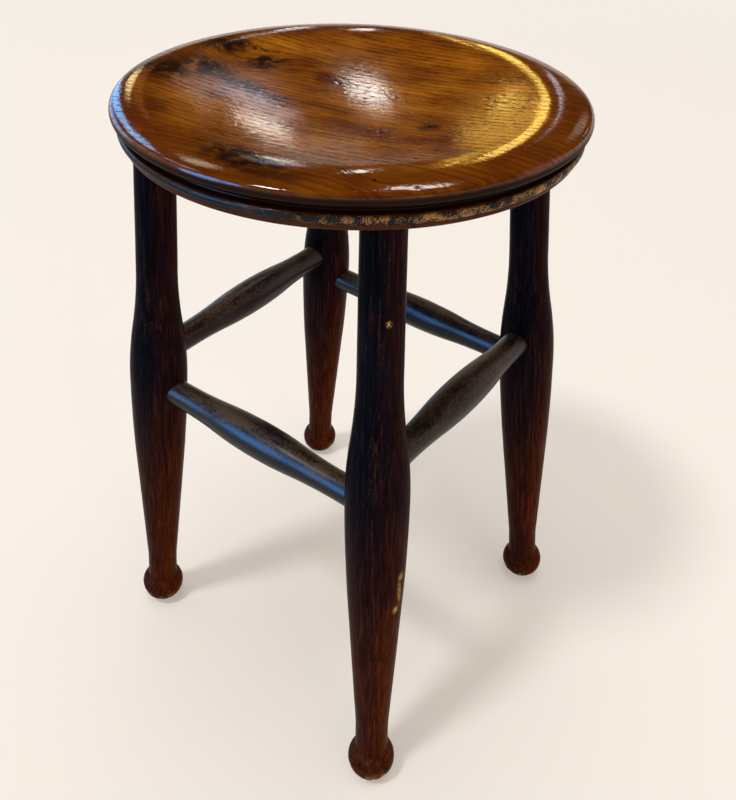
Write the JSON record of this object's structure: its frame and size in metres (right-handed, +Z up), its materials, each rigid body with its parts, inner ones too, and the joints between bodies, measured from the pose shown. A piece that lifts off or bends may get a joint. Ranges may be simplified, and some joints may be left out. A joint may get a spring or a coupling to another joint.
{
  "type": "stool",
  "caption": "Round wooden stool with a dished, moulded-edge seat on splayed turned legs with ball feet, braced by a box of swelled turned stretchers.",
  "frame": {"origin": "on the floor, under the middle of the seat", "axes": "+Z up; -Y is the front and +X the right, with the legs on the diagonals"},
  "size_m": [0.3377, 0.333, 0.547],
  "materials": {
    "seat_wood": "polished, worn elm",
    "leg_wood": "dark-stained, waxed",
    "stretcher_wood": "dark-stained, waxed"
  },
  "bodies": {
    "root": {"seat": "seat_wood", "leg_front_right": "leg_wood", "leg_back_right": "leg_wood", "leg_back_left": "leg_wood", "leg_front_left": "leg_wood", "stretcher_front": "stretcher_wood", "stretcher_back": "stretcher_wood", "stretcher_right": "stretcher_wood", "stretcher_left": "stretcher_wood"}
  },
  "joints": []
}
